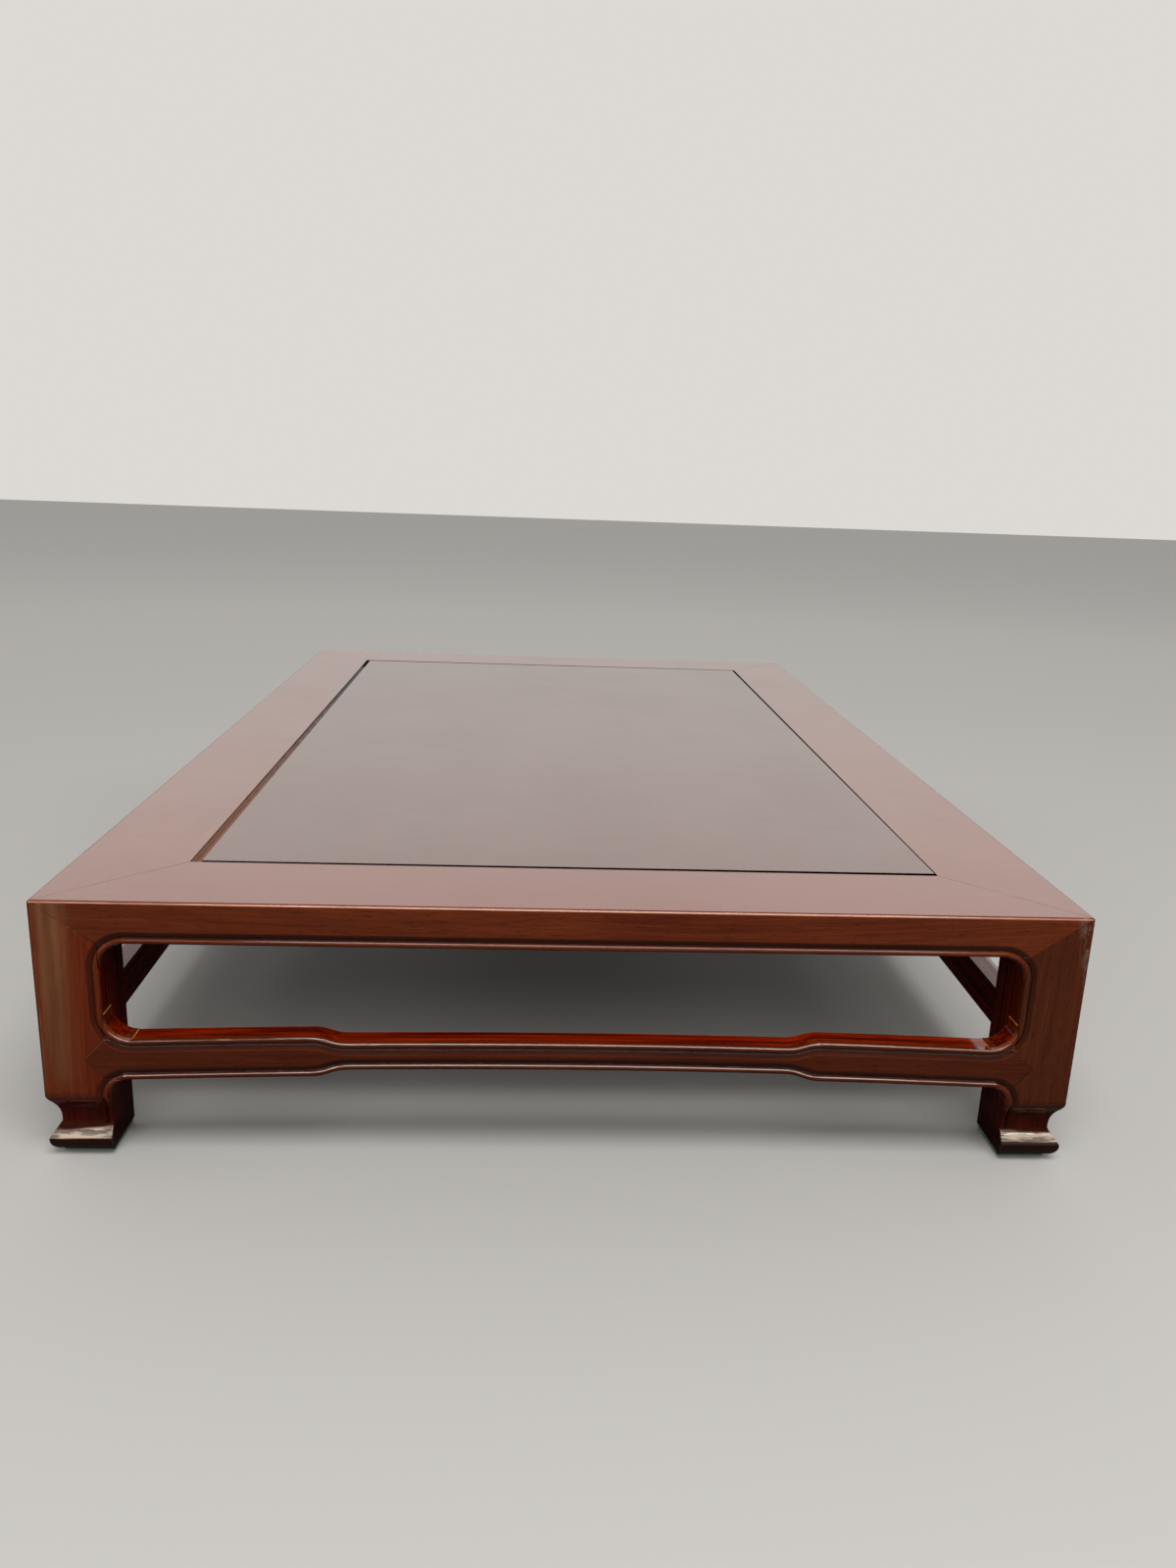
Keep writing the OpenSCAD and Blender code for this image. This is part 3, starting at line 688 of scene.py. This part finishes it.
def glue_line(side, end, level):
    """A thin, uneven fillet of dried glue along the foot of a corner block"""
    leg = half_opening(side)
    sign = -1 if end in ("left", "front") else 1
    spots = {
        "top": [(leg - CORNER_R, RAIL_LOW, -1)],
        "mid": [(leg - CORNER_R, STRETCHER_TOP, 1), (leg, STRETCHER_TOP + CORNER_R, 1)],
        "low": [(leg - LOW_CORNER_R, STRETCHER_LOW, -1)],
    }[level]
    bm = bmesh.new()
    for k in range(len(spots)):
        bmesh.ops.create_cube(bm, size=1.0, matrix=Matrix.Translation((APART * k, 0, 0)))
    lengthways = [e for e in bm.edges if abs(e.verts[0].co.y - e.verts[1].co.y) > 0.5]
    bmesh.ops.subdivide_edges(bm, edges=lengthways, cuts=FILLET_SLICES - 1)
    for v in bm.verts:
        k = round(v.co.x / APART)
        along, height, upward = spots[k]
        share = v.co.y + 0.5
        depth = STARTS + (STOPS - STARTS) * share
        lump = 0.5 + 0.5 * noise.noise(Vector((along * 900, depth * 1500, height * 700 + sign)))
        thick = (THIN + LUMPS * lump) * (1 if 0.01 < share < 0.99 else THIN_END)
        buried, raised = v.co.x > APART * k, v.co.z > 0
        if along < leg:
            da = SUNK if buried else -thick * (THIN_RIM if raised else 1)
            dh = (LIP if buried else LIP * LIP_RIM) if raised else 0
        else:
            da = 0 if buried else -LIP * (LIP_RIM if raised else 1)
            dh = (thick if buried else thick * THIN_RIM) if raised else -SUNK
        v.co = on_side(side, sign * (along + da), height + upward * dh, depth)
    new_piece(f"glue_{side}_{end}_{level}", bm, GLUE)


def felt_pad(name):
    """A cut square of felt, crushed a little and rough along its sides"""
    low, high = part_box(name)
    bm = bmesh.new()
    bmesh.ops.create_cube(bm, size=1.0)
    bmesh.ops.subdivide_edges(bm, edges=bm.edges[:], cuts=15, use_grid_fill=True)
    size = high - low
    middle = (low + high) / 2
    crushed, rough, inset = 0.02, 0.22 * MM, 0.2 * MM
    for v in bm.verts:
        edge = max(abs(v.co.x), abs(v.co.y)) * 2
        rise = v.co.z * 2
        tuck = 1 - crushed * abs(rise) ** 3
        spot = Vector((v.co.x * size.x * tuck, v.co.y * size.y * tuck, v.co.z * size.z))
        spot += middle
        ragged = noise.noise(spot * 900) * rough * (1 if edge > 0.93 else 0)
        out = Vector((v.co.x, v.co.y, 0)).normalized() if edge > 0 else Vector()
        spot += out * (ragged - inset)
        spot.z = min(max(spot.z, low.z), high.z)
        v.co = spot
    made = new_piece(name + "_soft", bm, FELT)
    made.data.shade_smooth()
    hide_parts(name)


for side in SIDES:
    arched_stretcher(side)
    for end in ("left", "right") if side in SHORT else ("front", "back"):
        for level in ("top", "mid", "low"):
            glue_line(side, end, level)
for name in [n for n in nodes if n.startswith("felt_pad")]:
    felt_pad(name)


# The floor looks pale, but lights and mirrors in the table as a darker one would
FLOOR_MIRRORED, FLOOR_NEAR, FLOOR_AWAY = (0.09, 0.09, 0.09), (0.5, 0.5, 0.495), (0.74, 0.74, 0.735)
FLOOR_HALF = 6.0
bm = bmesh.new()
bmesh.ops.create_grid(bm, x_segments=1, y_segments=1, size=FLOOR_HALF)
mesh = bpy.data.meshes.new("floor")
bm.to_mesh(mesh)
bm.free()
floor = bpy.data.objects.new("floor", mesh)
scene.collection.objects.link(floor)
pale_floor, tree, shader, coords = new_finish("pale_floor")
away = vector(tree, "LENGTH", vector(tree, "SUBTRACT", coords["Object"], (0.0, -0.9, 0.0)))
seen = add(tree, "ShaderNodeLightPath").outputs["Is Camera Ray"]
paled = blend(tree, fade(tree, away, 0.7, 2.6), FLOOR_NEAR, FLOOR_AWAY)
fill(tree, shader, {
    "Base Color": blend(tree, seen, FLOOR_MIRRORED, paled),
    "Roughness": 0.8,
    "Specular IOR Level": 0.0,
})
mesh.materials.append(pale_floor)

# The room glows, most of all behind the table and a little above it
ROOM_COLOUR, ROOM_SEEN = (1.0, 0.965, 0.915, 1), 0.72
world = bpy.data.worlds.new("studio")
scene.world = world
world.use_nodes = True
sky = world.node_tree
way = split(sky, add(sky, "ShaderNodeTexCoord").outputs["Generated"])
glow = product(
    sky, fade(sky, way["Z"], 0.08, 0.4, 0.8, 1.82), fade(sky, way["Y"], -0.35, 0.3, 0.12, 1.0),
    fade(sky, way["Z"], 0.42, 0.7, 1.0, 0.22))
seen = add(sky, "ShaderNodeLightPath").outputs["Is Camera Ray"]
unseen = calc(sky, "SUBTRACT", 1.0, seen)
glow = calc(sky, "ADD", calc(sky, "MULTIPLY", glow, unseen), calc(sky, "MULTIPLY", seen, ROOM_SEEN))
fill(sky, sky.nodes["Background"].inputs, {"Strength": glow, "Color": ROOM_COLOUR})

# Three of the lights only reach the near legs and stretcher, so that no top mirrors them
near_edges = bpy.data.collections.new("near_edges")
for piece in list(scene.objects):
    if piece.type == "MESH" and "_front" in piece.name and piece.name != "rail_front":
        near_edges.objects.link(piece)


def softbox(name, spot, aim, size, power, colour, near_only=False, shine_only=False):
    """A soft box of so many watts that stands at a spot and faces its aim"""
    light = bpy.data.lights.new(name, "AREA")
    light.shape = "RECTANGLE"
    light.size, light.size_y = size
    light.energy = power
    light.color = colour
    lamp = bpy.data.objects.new(name, light)
    scene.collection.objects.link(lamp)
    lamp.location = spot
    lamp.rotation_mode = "QUATERNION"
    lamp.rotation_quaternion = (Vector(aim) - Vector(spot)).to_track_quat("-Z", "Y")
    lamp.visible_diffuse = not shine_only
    if near_only:
        lamp.light_linking.receiver_collection = near_edges


FRONT_EDGE = (0, -0.3, 0.05)
softbox("key", (0.1, -0.85, 1.35), (0, -0.25, 0.05), (1.1, 0.6), 16, (1, 0.97, 0.93))
softbox("front", (0.1, -2.05, 1.42), FRONT_EDGE, (2.4, 0.7), 14, (1, 0.97, 0.93))
softbox("left_tall", (-1.5, -1.1, 0.7), (-0.1, -0.3, 0.05), (0.35, 1.4), 3, (1, 0.95, 0.86),
        near_only=True)
softbox("edge_shine", (0.1, -2.05, 1.42), FRONT_EDGE, (3.4, 0.5), 105, (1, 0.87, 0.78),
        near_only=True, shine_only=True)
softbox("toe_shine", (0.1, -1.65, 1.83), FRONT_EDGE, (3.2, 0.3), 80, (1, 0.9, 0.82),
        near_only=True, shine_only=True)

# The camera stands where the vanishing lines of the table's top put it
lens = bpy.data.cameras.new("camera")
lens.lens = 26.57
lens.sensor_width = 36
camera = bpy.data.objects.new("camera", lens)
scene.collection.objects.link(camera)
turn = Matrix((
    (0.99837, -0.02287, -0.05226),
    (-0.04446, 0.26201, -0.96404),
    (0.03574, 0.96479, 0.26057),
))
camera.rotation_mode = "QUATERNION"
camera.rotation_quaternion = turn.to_quaternion()
camera.location = (-0.01836, -0.7070, 0.2640)
scene.camera = camera
scene.view_settings.view_transform = "Standard"
